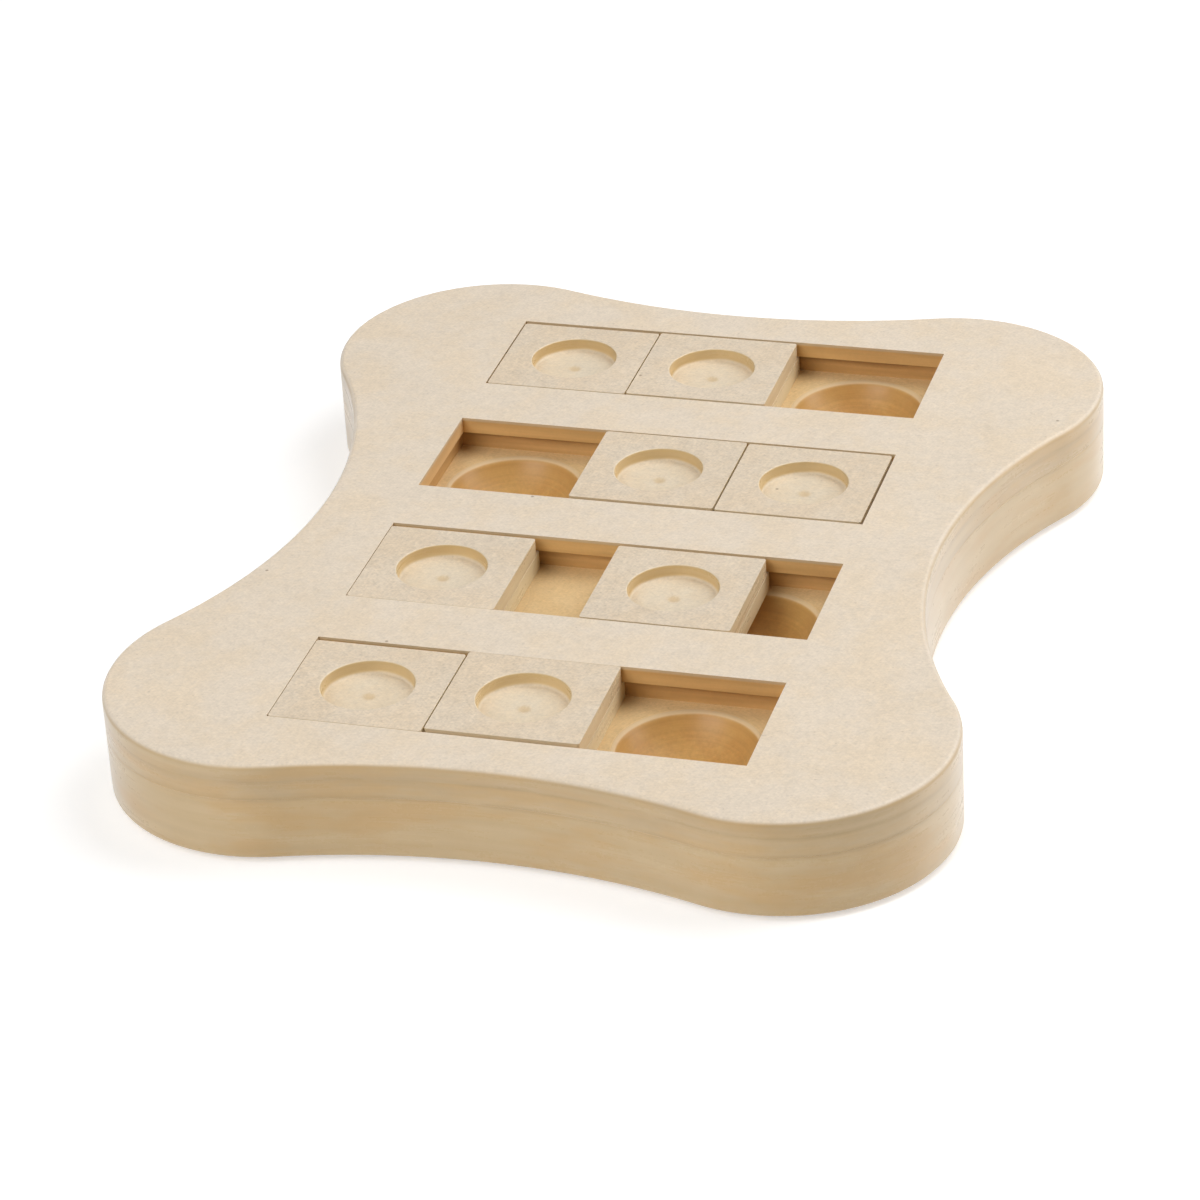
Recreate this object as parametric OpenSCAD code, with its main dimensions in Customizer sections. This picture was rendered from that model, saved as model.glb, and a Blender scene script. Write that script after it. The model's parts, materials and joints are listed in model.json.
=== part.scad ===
// Sliding treat puzzle for dogs: a bone-shaped board of three glued sheets with four
// slots, eight treat bowls under them, and two captive sliding tiles in each slot.
// Units are millimetres. +X runs along the slots, +Y from the front row to the back
// row and +Z up. The origin is the middle of the footprint, on the surface under the feet.

/* [Board outline] */
// Radius of the four round corner lobes
lobe_r = 48.5; // [46:0.5:52]
// Distance from the middle to a lobe's centre, left to right
lobe_x = 74.5; // [70:0.5:82]
// Distance from the middle to a lobe's centre, front to back
lobe_y = 104.5; // [102:0.5:114]
// Half width at the waist of the long sides
waist_x = 94.5; // [92:0.5:102]
// Half length at the waist of the front and back ends
waist_y = 142; // [140:0.5:147]

/* [Sheets] */
// Thickness of the top sheet, whose slots show
top_t = 5; // [4:0.5:8]
// Thickness of the middle sheet, whose wider windows guide the tiles
guide_t = 6; // [4:0.5:9]
// Thickness of the base sheet, which holds the bowls
base_t = 19; // [16:0.5:26]

/* [Slots] */
// Length of a slot
slot_l = 138; // [132:0.5:144]
// Width of a slot
slot_w = 44.6; // [40:0.2:50]
// Distance between the middles of two rows
row_pitch = 68.8; // [62:0.2:72]
// Width of the lip that hangs over the groove along a slot's long sides
side_lip = 2.5; // [1.5:0.1:4]
// Width of the lip that hangs over the groove at a slot's ends
end_lip = 1.5; // [0.6:0.1:3]

/* [Bowls] */
// Distance from the middle of a slot to each of its two bowls
bowl_x = 46; // [42:0.5:48]
// Radius of a bowl at the floor of the slot, with its bevelled rim
bowl_r = 21.5; // [18:0.5:23]
// Depth of a bowl below the floor of the slot
bowl_depth = 12; // [8:0.5:14]
// Width of the bevel round a bowl's rim
rim_w = 1.2; // [0.6:0.1:2]
// Height of the bevel round a bowl's rim
rim_h = 0.7; // [0.4:0.1:1.5]

/* [Tiles] */
// Length of a tile's lower layer, along the slot
tile_l = 45; // [42:0.2:46]
// How far the cap stands back from each end of the lower layer
cap_setback = 0.1; // [0.1:0.1:0.8]
// Gap between the cap and each long side of the slot, with the tile in the middle
cap_play = 1; // [0.4:0.1:1.2]
// Gap between the lower layer and each side of the groove, with the tile in the middle
slider_play = 1.1; // [0.9:0.1:1.3]
// Gap between the lower layer and the lip over it
lift_play = 0.2; // [0.1:0.1:0.6]
// Length of the broken corners of both layers
corner_cut = 0.8; // [0.4:0.1:1.5]
// Radius of the finger recess
recess_r = 13.35; // [10:0.05:17]
// Depth of the finger recess
recess_depth = 3.9; // [2:0.1:4]
// Radius of the drill point's mark in the middle of the recess
point_r = 1.4; // [0.8:0.1:2.5]
// Depth of the drill point's mark
point_depth = 0.7; // [0.3:0.1:0.8]

/* [Tile places] */
// Gap between a tile's cap and the end of the slot, with the tile at that end
end_gap = 0.2; // [0.2:0.1:0.8]
// Gap between the lower layers of two tiles that stand together
tile_gap = 0.2; // [0.2:0.1:0.8]
// Place of each row's left tile, as a share of its travel, back row first
left_share = [0.006, 0.982, 0, 0]; // [0:0.0005:1]
// Place of each row's right tile, as a share of its travel, back row first
right_share = [0.006, 0.9865, 0.526, 0]; // [0:0.0005:1]
// How far each left tile lies off the slot's middle, as a share of its play
left_aside = [-0.6, 0.45, -0.9, -0.8]; // [-1:0.05:1]
// How far each right tile lies off the slot's middle, as a share of its play
right_aside = [0, 0, -0.35, 0.95]; // [-1:0.05:1]

/* [Feet] */
// Radius of a rubber foot
foot_r = 9; // [6:0.5:16]
// Thickness of a rubber foot
foot_t = 1.5; // [1:0.1:4]
// Bevel round the underside of a foot
foot_bevel = 0.4; // [0.2:0.1:0.8]

/* [Hidden] */
$fn = 96;
// how far a cut runs past the face that it opens
past = 1;

// longest flat facet on the rounded outline
facet = 5;

// the concave ends and sides are arcs that run smoothly into the lobes
end_rise = waist_y - lobe_y;
side_rise = waist_x - lobe_x;
end_r = (lobe_x^2 + end_rise^2 - lobe_r^2) / (2 * (lobe_r - end_rise));
side_r = (lobe_y^2 + side_rise^2 - lobe_r^2) / (2 * (lobe_r - side_rise));
end_arc_y = waist_y + end_r;
side_arc_x = waist_x + side_r;
// half the angle that each concave arc spans
end_angle = atan2(lobe_x, end_arc_y - lobe_y);
side_angle = atan2(lobe_y, side_arc_x - lobe_x);

// points of an arc, without its last one, where the next arc starts
function arc(centre, r, from, to) =
    let (steps = ceil(abs(to - from) * PI / 180 * r / facet))
    [for (i = [0:steps - 1]) let (a = from + (to - from) * i / steps) centre + r * [cos(a), sin(a)]];

// right side, back right lobe, back end and back left lobe; the rest is the same, half a turn on
half_outline = concat(
    arc([side_arc_x, 0], side_r, 180 + side_angle, 180 - side_angle),
    arc([lobe_x, lobe_y], lobe_r, -side_angle, 90 + end_angle),
    arc([0, end_arc_y], end_r, end_angle - 90, -end_angle - 90),
    arc([-lobe_x, lobe_y], lobe_r, 90 - end_angle, 180 + side_angle)
);
outline = concat(half_outline, [for (p = half_outline) -p]);

base_z = foot_t;
floor_z = base_z + base_t;
lip_z = floor_z + guide_t;

// rows from the back one, 0, to the front one, 3
function row_y(row) = (1.5 - row) * row_pitch;

// the sphere that shapes a bowl below its bevel
dish_r = bowl_r - rim_w;
dish_depth = bowl_depth - rim_h;
bowl_sphere = (dish_r^2 + dish_depth^2) / (2 * dish_depth);

cap_l = tile_l - 2 * cap_setback;
cap_w = slot_w - 2 * cap_play;
// the cap stands level with the top of the board
cap_t = top_t + lift_play;
slider_w = slot_w + 2 * side_lip - 2 * slider_play;
slider_t = guide_t - lift_play;
// how far a tile can lie off the slot's middle before its cap or its lower layer touches
tile_play = min(cap_play, slider_play);

// a left tile's centre at the left end of its slot, and how far a pair can slide
first_x = end_gap + cap_l / 2 - slot_l / 2;
tile_pitch = tile_l + tile_gap;
travel = slot_l - 2 * end_gap - cap_l - tile_pitch;

function tile_x(row, right) =
    right ? first_x + tile_pitch + travel * right_share[row] : first_x + travel * left_share[row];
function tile_y(row, right) =
    row_y(row) + tile_play * (right ? right_aside[row] : left_aside[row]);

// a sheet of the board's outline, with nothing cut out of it
module bone(thickness) {
    linear_extrude(thickness) polygon(outline);
}

// one straight window through a sheet for each row
module windows(length, width, thickness) {
    for (row = [0:3])
        translate([-length / 2, row_y(row) - width / 2, -past])
            cube([length, width, thickness + 2 * past]);
}

// what a bowl takes out of the base sheet, from its rim downwards
module bowl_cut() {
    translate([0, 0, -bowl_depth]) translate([0, 0, bowl_sphere]) sphere(r = bowl_sphere);
    translate([0, 0, -rim_h]) cylinder(h = rim_h, r1 = dish_r, r2 = bowl_r);
}

module base_plate() {
    color("burlywood") translate([0, 0, base_z]) difference() {
        bone(base_t);
        for (row = [0:3], side = [-1, 1])
            translate([side * bowl_x, row_y(row), base_t]) bowl_cut();
    }
}

module guide_plate() {
    color("tan") translate([0, 0, floor_z]) difference() {
        bone(guide_t);
        windows(slot_l + 2 * end_lip, slot_w + 2 * side_lip, guide_t);
    }
}

module top_plate() {
    color("wheat") translate([0, 0, lip_z]) difference() {
        bone(top_t);
        windows(slot_l, slot_w, top_t);
    }
}

module foot(side, end) {
    color("dimgray") translate([side * lobe_x, end * lobe_y, 0]) {
        cylinder(h = foot_bevel, r1 = foot_r - foot_bevel, r2 = foot_r);
        translate([0, 0, foot_bevel]) cylinder(h = foot_t - foot_bevel, r = foot_r);
    }
}

// a flat rectangular block with its four upright corners broken, centred on the origin
module block(length, width, thickness) {
    x = length / 2;
    y = width / 2;
    linear_extrude(thickness) polygon([
        [x - corner_cut, y], [corner_cut - x, y], [-x, y - corner_cut], [-x, corner_cut - y],
        [corner_cut - x, -y], [x - corner_cut, -y], [x, corner_cut - y], [x, y - corner_cut]
    ]);
}

// the lower layer of a tile, which runs in the groove under the lips
module slider(row, right) {
    color("burlywood") translate([tile_x(row, right), tile_y(row, right), floor_z])
        block(tile_l, slider_w, slider_t);
}

// the upper layer of a tile, which fills the slot and has the finger recess
module cap(row, right) {
    color("wheat") translate([tile_x(row, right), tile_y(row, right), floor_z + slider_t])
        difference() {
            block(cap_l, cap_w, cap_t);
            translate([0, 0, cap_t - recess_depth]) cylinder(h = recess_depth + past, r = recess_r);
            translate([0, 0, cap_t - recess_depth - point_depth])
                cylinder(h = point_depth, r1 = 0, r2 = point_r);
        }
}

base_plate();
guide_plate();
top_plate();
foot(-1, 1);  // back_left_foot
foot(1, 1);  // back_right_foot
foot(-1, -1);  // front_left_foot
foot(1, -1);  // front_right_foot
for (row = [0:3], right = [false, true]) {
    name = str("row", row + 1, right ? "_right" : "_left");
    slider(row, right);
    cap(row, right);
}
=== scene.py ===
"""Sliding treat puzzle for dogs: the look of every piece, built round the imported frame.

A bone-shaped board of three glued fibreboard sheets has four slots. Two captive tiles slide in
each slot over two turned bowls. Everything is in metres, in the frame's own axes: +X along the
slots, +Y from the front row to the back row, +Z up.
"""

from __future__ import annotations

import json
import logging
import math
from contextlib import contextmanager
from dataclasses import dataclass, field, replace
from enum import Enum
from functools import cache
from typing import Callable, Iterator

import bmesh
import bpy
from mathutils import Matrix, Vector

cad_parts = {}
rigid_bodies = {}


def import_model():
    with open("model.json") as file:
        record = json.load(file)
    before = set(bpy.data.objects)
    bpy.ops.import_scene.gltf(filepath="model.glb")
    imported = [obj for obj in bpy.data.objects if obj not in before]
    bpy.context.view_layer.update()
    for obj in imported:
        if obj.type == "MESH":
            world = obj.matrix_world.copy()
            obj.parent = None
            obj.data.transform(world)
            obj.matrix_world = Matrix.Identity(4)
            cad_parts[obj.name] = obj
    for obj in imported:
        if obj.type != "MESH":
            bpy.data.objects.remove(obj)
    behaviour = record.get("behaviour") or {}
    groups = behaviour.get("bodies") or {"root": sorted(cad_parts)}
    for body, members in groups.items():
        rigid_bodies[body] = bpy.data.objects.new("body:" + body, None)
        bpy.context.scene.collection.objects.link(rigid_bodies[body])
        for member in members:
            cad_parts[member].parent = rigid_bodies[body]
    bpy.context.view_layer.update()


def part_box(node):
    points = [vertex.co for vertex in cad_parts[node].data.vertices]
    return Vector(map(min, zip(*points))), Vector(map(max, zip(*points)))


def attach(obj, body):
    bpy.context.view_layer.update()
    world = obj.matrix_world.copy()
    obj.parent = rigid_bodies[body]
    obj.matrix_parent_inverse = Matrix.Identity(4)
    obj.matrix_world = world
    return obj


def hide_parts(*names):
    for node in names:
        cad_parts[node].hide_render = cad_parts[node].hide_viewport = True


LOG = logging.getLogger("treat_puzzle")

MM = 0.001
# how far a cutter runs past the face that it opens
PAST = 2 * MM
# how close to a level an edge lies that counts as in it
NEAR = 0.01 * MM
# an edge whose faces fold by more than this, in radians, is sharp
SHARP = 1.0
# the steepest fold, in degrees, that is shaded smooth
SMOOTH_FOLD = 32.0

Point = tuple[float, float, float]
Colour = tuple[float, float, float]
Profile = list[tuple[float, float]]
Object = bpy.types.Object
Edge = bmesh.types.BMEdge
Material = bpy.types.Material
Socket = bpy.types.NodeSocket
Sockets = bpy.types.bpy_prop_collection


class Side(Enum):
    """Left or right, as seen from the front."""

    LEFT = "left"
    RIGHT = "right"


# ---------------- modelling


def activate(obj: Object) -> None:
    """Makes an object the one selected and active object.

    Args:
        obj: the object to work on.
    """
    bpy.ops.object.select_all(action="DESELECT")
    obj.select_set(True)
    bpy.context.view_layer.objects.active = obj


@contextmanager
def editing(obj: Object, mode: str, everything: bool = False) -> Iterator[bmesh.types.BMesh]:
    """Opens an object in edit mode, and closes it again.

    Args:
        obj: the mesh object to edit.
        mode: what is selected in it, VERT, EDGE or FACE.
        everything: whether all of it starts selected, or nothing.

    Yields:
        The live edit mesh, for selecting by place.
    """
    activate(obj)
    bpy.ops.object.mode_set(mode="EDIT")
    bpy.ops.mesh.select_mode(type=mode)
    bpy.ops.mesh.select_all(action="SELECT" if everything else "DESELECT")
    try:
        yield bmesh.from_edit_mesh(obj.data)
    finally:
        bpy.ops.object.mode_set(mode="OBJECT")


def sharp_rim(z: float) -> Callable[[Edge], bool]:
    """Makes a test for the sharp edges at height z."""
    return lambda edge: all(abs(v.co.z - z) < NEAR for v in edge.verts) and edge.calc_face_angle(0.0) > SHARP


def upright(edge: Edge) -> bool:
    """Says whether an edge of a block runs up one of its corners."""
    return abs(edge.verts[0].co.z - edge.verts[1].co.z) > NEAR


def round_edges(obj: Object, radius: float, steps: int, wanted: Callable[[Edge], bool]) -> None:
    """Rounds the edges that pass a test with the bevel operator.

    Args:
        obj: the mesh object.
        radius: the rounding's radius.
        steps: how many faces make the rounding.
        wanted: says whether an edge is rounded.
    """
    with editing(obj, "EDGE") as mesh:
        for edge in mesh.edges:
            edge.select_set(wanted(edge))
        bmesh.update_edit_mesh(obj.data)
        bpy.ops.mesh.bevel(offset_type="OFFSET", offset=radius, segments=steps, profile=0.5, affect="EDGES")


def subtract(obj: Object, cutter: Object, places: list[Vector]) -> None:
    """Cuts one solid out of another at several places. New faces keep the cutter's material.

    Args:
        obj: the solid that is cut.
        cutter: the solid that is taken away. It is deleted at the end.
        places: how far it is moved for each cut.
    """
    for place in places:
        cutter.location = place
        activate(obj)
        cut = obj.modifiers.new("cut", "BOOLEAN")
        cut.operation, cut.solver, cut.object = "DIFFERENCE", "EXACT", cutter
        cut.material_mode = "TRANSFER"
        bpy.ops.object.modifier_apply(modifier=cut.name)
    bpy.data.objects.remove(cutter)


def block(name: str, low: Vector, high: Vector, wood: Material) -> Object:
    """Adds a rectangular block, with its place in its mesh.

    Args:
        name: the object's name.
        low: its lowest corner.
        high: its highest corner.
        wood: its material.

    Returns:
        The block.
    """
    bpy.ops.object.select_all(action="DESELECT")
    bpy.ops.mesh.primitive_cube_add(size=1.0, location=(low + high) / 2)
    made = bpy.context.object
    made.name = name
    made.scale = high - low
    bpy.ops.object.transform_apply(location=True, rotation=True, scale=True)
    made.data.materials.append(wood)
    return made


def lone_vertex(name: str, at: Point) -> Object:
    """Adds a mesh that is one vertex, the start of a drawn line.

    Args:
        name: the object's name.
        at: the vertex's place.

    Returns:
        The mesh object, at the origin.
    """
    bpy.ops.object.select_all(action="DESELECT")
    bpy.ops.mesh.primitive_plane_add(size=MM, location=at)
    made = bpy.context.object
    made.name = name
    bpy.ops.object.transform_apply(location=True, rotation=True, scale=True)
    with editing(made, "VERT", everything=True):
        bpy.ops.mesh.merge(type="CENTER")
    return made


@dataclass(frozen=True)
class Arc:
    """One level arc of a drawn line: it starts where the line ends. Its sweep is in radians."""

    centre: Point
    radius: float
    sweep: float


def draw_arcs(obj: Object, arcs: list[Arc], chord: float) -> None:
    """Draws arcs one after another from a lone vertex, with the spin operator.

    The operator turns clockwise round its axis, so each sweep goes in with its sign changed.

    Args:
        obj: the mesh that holds the lone vertex.
        arcs: the arcs in order.
        chord: about how long a straight piece is.
    """
    with editing(obj, "VERT", everything=True):
        for arc in arcs:
            bpy.ops.mesh.spin(
                steps=max(2, math.ceil(abs(arc.sweep) * arc.radius / chord)),
                angle=-arc.sweep,
                center=arc.centre,
                axis=(0.0, 0.0, 1.0),
                use_auto_merge=False,
            )


def turned(name: str, profile: Profile, centre: Vector, steps: int, stuff: Material) -> Object:
    """Turns a profile round an upright axis into a closed solid.

    Args:
        name: the object's name.
        profile: (radius, height) points that start and end on the axis.
        centre: where the axis and height zero are.
        steps: how many faces go round.
        stuff: its material.

    Returns:
        The solid, with its faces outwards.
    """
    radius, height = profile[0]
    made = lone_vertex(name, (centre.x + radius, centre.y, centre.z + height))
    with editing(made, "VERT", everything=True):
        for (r0, z0), (r1, z1) in zip(profile, profile[1:]):
            bpy.ops.mesh.extrude_region_move(TRANSFORM_OT_translate={"value": (r1 - r0, 0.0, z1 - z0)})
        bpy.ops.mesh.select_all(action="SELECT")
        bpy.ops.mesh.spin(steps=steps, angle=2 * math.pi, center=centre, axis=(0.0, 0.0, 1.0))
        bpy.ops.mesh.select_all(action="SELECT")
        bpy.ops.mesh.remove_doubles(threshold=0.1 * NEAR)
        bpy.ops.mesh.normals_make_consistent(inside=False)
    made.data.materials.append(stuff)
    return made


def bend(centre: tuple[float, float], radius: float, start: float, sweep: float, steps: int) -> Profile:
    """Points of a round stretch in a turned profile.

    Args:
        centre: the bend's centre, as (radius, height).
        radius: its own radius.
        start: the first point's angle in degrees, from the radius axis.
        sweep: how far it turns, in degrees.
        steps: how many straight pieces it has.

    Returns:
        The (radius, height) points, both ends included.
    """
    angles = [math.radians(start + sweep * i / steps) for i in range(steps + 1)]
    return [(centre[0] + radius * math.cos(a), centre[1] + radius * math.sin(a)) for a in angles]


def top_middle(node: str) -> Vector:
    """The middle of the top of a CAD node's box."""
    low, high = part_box(node)
    return Vector(((low.x + high.x) / 2, (low.y + high.y) / 2, high.z))


def set_out(first: Object, nodes: list[str], ending: str) -> list[Object]:
    """Copies a piece to the places of other CAD nodes, each copy with its own mesh.

    Args:
        first: the piece as modelled in the first node's place.
        nodes: the CAD nodes, the first one included.
        ending: what follows the node's name in a copy's name.

    Returns:
        The piece and its copies, in the nodes' order.
    """
    made = [first]
    for node in nodes[1:]:
        piece = first.copy()
        piece.data = first.data.copy()
        piece.name = node + ending
        piece.data.transform(Matrix.Translation(top_middle(node) - top_middle(nodes[0])))
        made.append(piece)
    return made


def finished(made: Object, node: str, body: str) -> Object:
    """Shades a piece smooth across shallow folds, and lets it stand for its CAD node.

    Args:
        made: the piece. A copy that isn't in the scene yet is put there.
        node: the CAD node that it replaces.
        body: the body that it rides on.

    Returns:
        The piece.
    """
    present = bpy.context.scene.collection.objects
    if made.name not in present:
        present.link(made)
    activate(made)
    bpy.ops.object.shade_smooth_by_angle(angle=math.radians(SMOOTH_FOLD))
    weigh = made.modifiers.new("weigh", "WEIGHTED_NORMAL")
    weigh.mode, weigh.weight, weigh.keep_sharp = "FACE_AREA", 100, True
    bpy.ops.object.modifier_apply(modifier=weigh.name)
    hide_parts(node)
    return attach(made, body)


# ---------------- node wiring


@dataclass
class Wiring:
    """A node tree that is being wired, with one short call for each kind of node."""

    tree: bpy.types.NodeTree

    def node(self, kind: str, inputs: dict | None = None, **settings: object) -> bpy.types.Node:
        """Adds a node.

        Args:
            kind: the node's type, without its ShaderNode prefix.
            inputs: value or socket for each input, by name or number.
            **settings: the node's own properties.

        Returns:
            The node.
        """
        made = self.tree.nodes.new("ShaderNode" + kind)
        for key, value in settings.items():
            setattr(made, key, value)
        for key, value in (inputs or {}).items():
            if isinstance(value, Socket):
                self.tree.links.new(value, made.inputs[key])
            else:
                made.inputs[key].default_value = value
        return made

    def group(self, effect: Effect, inputs: dict) -> Sockets:
        """Places a shared effect and returns its outputs."""
        return self.node("Group", inputs, node_tree=effect.tree).outputs

    def calc(self, operation: str, *values: object, clamp: bool = False) -> Socket:
        """Adds a Math node and returns its output."""
        made = self.node("Math", dict(enumerate(values)), operation=operation, use_clamp=clamp)
        return made.outputs[0]

    def weighted(self, *layers: tuple[Socket, float]) -> Socket:
        """Adds up values, each times its share.

        Args:
            *layers: (value, share) pairs.

        Returns:
            The total.
        """
        total = self.calc("MULTIPLY", *layers[0])
        for value, share in layers[1:]:
            total = self.calc("MULTIPLY_ADD", value, share, total)
        return total

    def mix(self, factor: object, a: object, b: object) -> Socket:
        """Mixes two colours and returns the result."""
        return self.node("Mix", {0: factor, 6: a, 7: b}, data_type="RGBA").outputs[2]

    def shade(self, colour: object, change: object, depth: float) -> Socket:
        """Makes a colour lighter or darker.

        Args:
            colour: the colour.
            change: by what share of itself, round 0.
            depth: how strongly the change counts.

        Returns:
            The changed colour.
        """
        light = self.calc("MULTIPLY_ADD", change, depth, 1.0)
        grey = self.node("CombineXYZ", {0: light, 1: light, 2: light}).outputs[0]
        return self.node("VectorMath", {0: colour, 1: grey}, operation="MULTIPLY").outputs[0]

    def ramp(self, value: object, low: float, high: float, start: float = 0.0, end: float = 1.0) -> Socket:
        """Maps a value smoothly from the range low to high on start to end, and returns it."""
        inputs = {0: value, 1: low, 2: high, 3: start, 4: end}
        return self.node("MapRange", inputs, interpolation_type="SMOOTHSTEP").outputs[0]

    def stretch(self, vector: object, scale: Point, turn: float = 0.0) -> Socket:
        """Turns coordinates round Z, then makes them coarser by a scale for each axis."""
        inputs = {"Vector": vector, "Scale": scale, "Rotation": (0.0, 0.0, turn)}
        return self.node("Mapping", inputs, vector_type="TEXTURE").outputs[0]

    def pressed(self, vector: object, length: float, height: float) -> Socket:
        """Coordinates that turn a noise of scale 1 into level patches of a length and height."""
        return self.stretch(vector, (length, length, height))

    def noise(self, vector: object, scale: float, detail: float = 2.0, rough: float = 0.5) -> Socket:
        """Adds a Noise texture and returns its value, which is about 0.5 on average."""
        inputs = {"Vector": vector, "Scale": scale, "Detail": detail, "Roughness": rough}
        return self.node("TexNoise", inputs).outputs[0]

    def ripple(self, vector: object, scale: float, detail: float = 2.0, rough: float = 0.5) -> Socket:
        """Adds a Noise texture and returns its value less 0.5, which varies round 0."""
        return self.calc("SUBTRACT", self.noise(vector, scale, detail, rough), 0.5)

    def dots(self, at: object, scale: float, size: tuple[float, float], empty: float, chance: str) -> Socket:
        """Scatters soft dots over the XY plane, with one in each of a few cells.

        Args:
            at: the coordinates.
            scale: how many cells there are in a metre.
            size: where a dot ends and where it is full, as distances in cells.
            empty: the share of the cells that have no dot.
            chance: the channel of the cells' random colour that picks them.

        Returns:
            A mask of the dots.
        """
        inputs = {"Vector": at, "Scale": scale}
        cells = self.node("TexVoronoi", inputs, feature="F1", voronoi_dimensions="2D").outputs
        pick = self.node("SeparateColor", {0: cells["Color"]}).outputs[chance]
        picked = self.calc("GREATER_THAN", pick, empty)
        return self.calc("MULTIPLY", self.ramp(cells["Distance"], *size), picked)

    def along(self, vector: object, axis: str) -> Socket:
        """One coordinate of a vector."""
        return self.node("SeparateXYZ", {0: vector}).outputs[axis]

    def length(self, vector: object) -> Socket:
        """A vector's length."""
        return self.node("VectorMath", {0: vector}, operation="LENGTH").outputs["Value"]

    def rings(self, far: Socket, scale: float) -> Socket:
        """Rings round an axis, from the distance to it. Their value varies round 0."""
        return self.ripple(self.node("CombineXYZ", {0: far}).outputs[0], scale, rough=0.6)


@dataclass
class Effect(Wiring):
    """A shader node group that several finishes share, from a vector and a few numbers."""

    tree: bpy.types.NodeTree = field(init=False)
    name: str
    outputs: list[str]
    inputs: dict[str, float] = field(default_factory=dict)
    given: Sockets = field(init=False)
    result: Sockets = field(init=False)

    def __post_init__(self) -> None:
        """Makes the empty group with its sockets."""
        self.tree = bpy.data.node_groups.new(self.name, "ShaderNodeTree")
        sockets = self.tree.interface
        sockets.new_socket(name="Vector", in_out="INPUT", socket_type="NodeSocketVector")
        for label, default in self.inputs.items():
            made = sockets.new_socket(name=label, in_out="INPUT", socket_type="NodeSocketFloat")
            made.default_value = default
        for label in self.outputs:
            sockets.new_socket(name=label, in_out="OUTPUT", socket_type="NodeSocketFloat")
        self.given = self.tree.nodes.new("NodeGroupInput").outputs
        self.result = self.tree.nodes.new("NodeGroupOutput").inputs

    def put(self, label: str, value: Socket) -> None:
        """Wires a value to one of the group's outputs."""
        self.tree.links.new(value, self.result[label])


@cache
def sanded_face() -> Effect:
    """Pressed fibres, faint clouds and rare dark specks, as on a sanded sheet's face.

    Returns:
        A group whose Tone is a brightness change round 0, Warmth a colour mask, Specks a mask of
        dark dots, and Height a relief.
    """
    w = Effect("sanded_face", ["Tone", "Warmth", "Specks", "Height"])
    at = w.given["Vector"]
    turns = (0.35, 1.4, 2.45)
    fibres = [w.ripple(w.stretch(at, (3.2, 1.0, 1.0), turn), 1500.0, detail=1.0) for turn in turns]
    fibre = w.weighted(*((one, 1 / len(fibres)) for one in fibres))
    sand = w.ripple(at, 1050.0, rough=0.7)
    flock = w.ripple(at, 260.0, detail=3.0, rough=0.62)
    cloud = w.ripple(at, 30.0, detail=3.0, rough=0.55)
    w.put("Tone", w.weighted((sand, 0.24), (fibre, 0.42), (flock, 0.16), (cloud, 0.10)))
    askew = w.stretch(at, (1.0, 1.0, 1.0), turn=0.9)
    w.put("Warmth", w.ramp(w.noise(askew, 55.0, detail=4.0, rough=0.65), 0.36, 0.66))
    speck = w.dots(at, 62.0, size=(0.040, 0.018), empty=0.965, chance="Red")
    fleck = w.dots(at, 210.0, size=(0.085, 0.035), empty=0.90, chance="Green")
    w.put("Specks", w.calc("MULTIPLY_ADD", fleck, 0.28, speck, clamp=True))
    w.put("Height", w.calc("MULTIPLY_ADD", sand, 0.8, fibre))
    return w


@cache
def machined_edge() -> Effect:
    """The level streaks of a sheet's pressed layers, and the clouds of its sealer.

    Returns:
        A group whose Tone is a brightness change round 0, Bands a mask of broad layers, Blotch a
        mask of the sealer's warm patches, and Height a relief.
    """
    w = Effect("machined_edge", ["Tone", "Bands", "Blotch", "Height"])
    at = w.given["Vector"]
    streak = w.ripple(w.pressed(at, 75 * MM, 2.4 * MM), 1.0, detail=3.0, rough=0.6)
    thread = w.ripple(w.pressed(at, 16 * MM, 0.6 * MM), 1.0, rough=0.6)
    grit = w.ripple(at, 900.0, rough=0.6)
    cloud = w.ripple(w.pressed(at, 30 * MM, 14 * MM), 1.0, detail=3.0, rough=0.6)
    w.put("Tone", w.weighted((thread, 0.05), (streak, 0.16), (grit, 0.06), (cloud, 0.20)))
    w.put("Bands", w.ramp(w.noise(w.pressed(at, 90 * MM, 4.5 * MM), 1.0), 0.36, 0.66))
    patch = w.noise(w.pressed(at, 34 * MM, 9 * MM), 1.0, detail=3.0, rough=0.6)
    w.put("Blotch", w.ramp(patch, 0.40, 0.66))
    w.put("Height", w.weighted((streak, 0.25), (thread, 0.10)))
    return w


@cache
def glue_line() -> Effect:
    """The thin dark line that a glued joint leaves on a cut edge; set just under a lip, the same line is
    painted shade.

    Returns:
        A group whose Line is a mask round the level Height, Width to each side.
    """
    w = Effect("glue_line", ["Line"], {"Height": 0.0, "Width": 0.4 * MM})
    given = w.given
    far = w.calc("ABSOLUTE", w.calc("SUBTRACT", w.along(given["Vector"], "Z"), given["Height"]))
    near = w.calc("SUBTRACT", 1.0, w.calc("DIVIDE", far, given["Width"]), clamp=True)
    patch = w.noise(w.pressed(given["Vector"], 18 * MM, 2 * MM), 1.0, detail=3.0, rough=0.6)
    w.put("Line", w.calc("MULTIPLY", near, w.ramp(patch, 0.34, 0.62, start=0.25)))
    return w


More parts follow.
